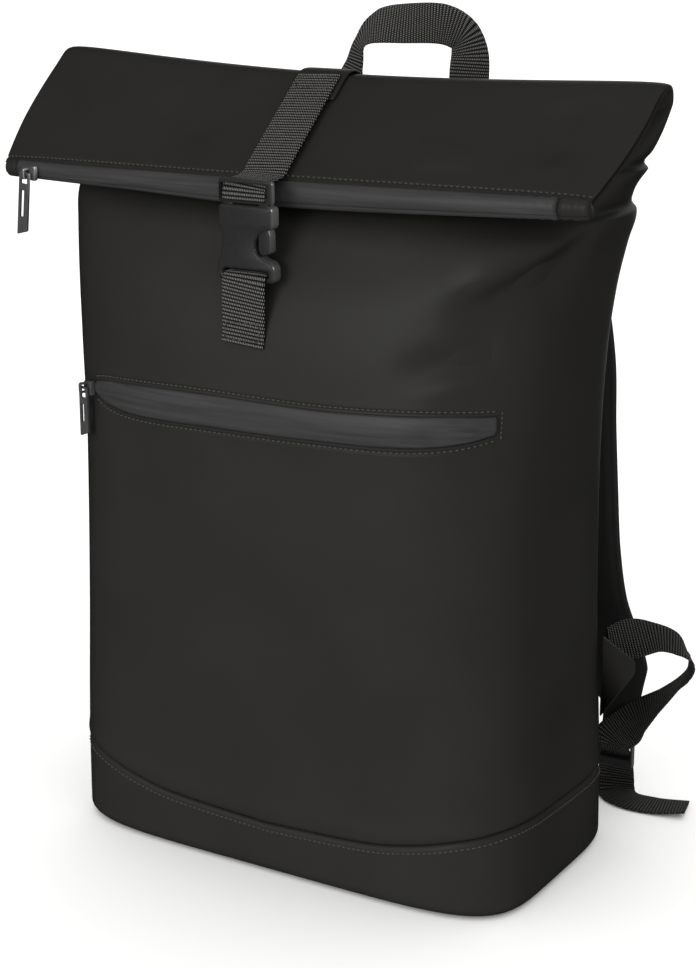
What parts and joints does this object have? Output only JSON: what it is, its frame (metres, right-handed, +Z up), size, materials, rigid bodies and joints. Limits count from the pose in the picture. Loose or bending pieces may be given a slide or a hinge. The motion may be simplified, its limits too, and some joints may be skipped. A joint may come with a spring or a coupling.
{
  "type": "laptop backpack with a roll top",
  "caption": "Black coated roll-top laptop backpack with a buckled closure strap, front zip pocket, grab handle and padded shoulder straps.",
  "frame": {"origin": "middle of the base, on the surface that the bag stands on", "axes": "+Z up, +X to the right of someone who faces the front, the front faces -Y"},
  "size_m": [0.4026, 0.242, 0.5019],
  "materials": {
    "coated_cloth": "matte black polyurethane-coated cloth",
    "strap_cloth": "matte black coated cloth over foam",
    "zip_tape": "satin coated water-resistant zip tape",
    "webbing": "ribbed black polyester webbing",
    "buckle_plastic": "satin moulded black plastic",
    "zip_metal": "gunmetal plated"
  },
  "bodies": {
    "bag": {"base_panel": "coated_cloth", "body_shell": "coated_cloth", "roll_top": "coated_cloth", "top_zip": "zip_tape", "zip_end_left": "coated_cloth", "zip_end_right": "coated_cloth", "pocket_zip": "zip_tape", "closure_strip": "coated_cloth", "closure_webbing": "webbing", "lower_webbing": "webbing", "buckle_male": "buckle_plastic", "buckle_female": "buckle_plastic", "grab_handle": "webbing", "top_slider": "zip_metal", "pocket_slider": "zip_metal", "shoulder_strap_left": "strap_cloth", "shoulder_strap_right": "strap_cloth", "adjuster_left": "buckle_plastic", "adjuster_right": "buckle_plastic", "side_tab_left": "coated_cloth", "side_tab_right": "coated_cloth", "strap_webbing_left": "webbing", "strap_webbing_right": "webbing"},
    "top_pull": {"top_pull": "zip_metal"},
    "pocket_pull": {"pocket_pull": "zip_metal"}
  },
  "joints": [
    {"name": "top_pull_hinge", "type": "hinge", "parent": "bag", "child": "top_pull", "pos_m": [-0.16811, -0.08296, 0.4071], "axis": [-0.9961, 0.0888, 0], "range_deg": [0, 150]},
    {"name": "pocket_pull_hinge", "type": "hinge", "parent": "bag", "child": "pocket_pull", "pos_m": [-0.12392, -0.09082, 0.285], "axis": [-0.9514, 0.3081, 0], "range_deg": [0, 150]}
  ]
}
